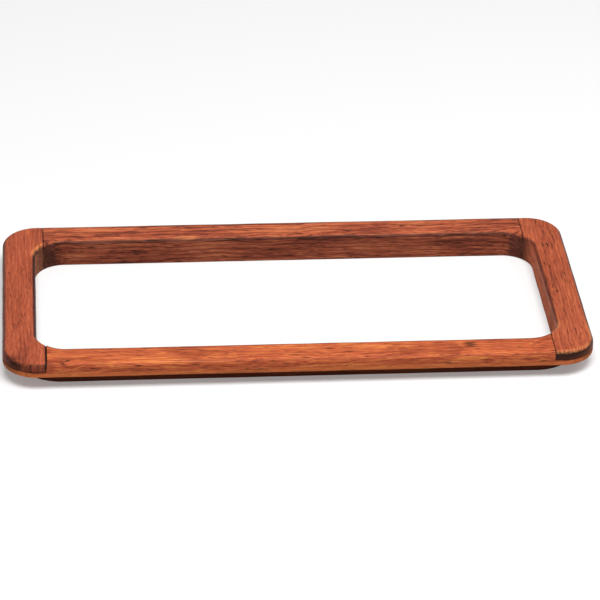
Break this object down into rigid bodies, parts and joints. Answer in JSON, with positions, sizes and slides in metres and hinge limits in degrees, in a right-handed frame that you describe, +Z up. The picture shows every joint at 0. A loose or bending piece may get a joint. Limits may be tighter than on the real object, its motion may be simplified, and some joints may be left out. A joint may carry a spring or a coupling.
{
  "type": "grab rail",
  "caption": "Rectangular loop grab rail of oiled teak: a rounded flange over a narrower lip that drops into a cut-out, with open mortise and tenon corners.",
  "frame": {"origin": "middle of the underside, at the level of the lip's lower face", "axes": "+X along the long rails, from the left end rail to the right one; +Y from the front long rail to the back one; +Z up through the rounded top face"},
  "size_m": [0.4444, 0.216, 0.0222],
  "materials": {
    "long_rail_teak": "oiled, satin",
    "end_rail_teak": "oiled, satin",
    "dowel_beech": "bare, fluted and glued"
  },
  "bodies": {
    "root": {"front_long_rail": "long_rail_teak", "back_long_rail": "long_rail_teak", "left_end_rail": "end_rail_teak", "right_end_rail": "end_rail_teak", "corner_dowel_front_left": "dowel_beech", "corner_dowel_front_right": "dowel_beech", "corner_dowel_back_right": "dowel_beech", "corner_dowel_back_left": "dowel_beech"}
  },
  "joints": []
}
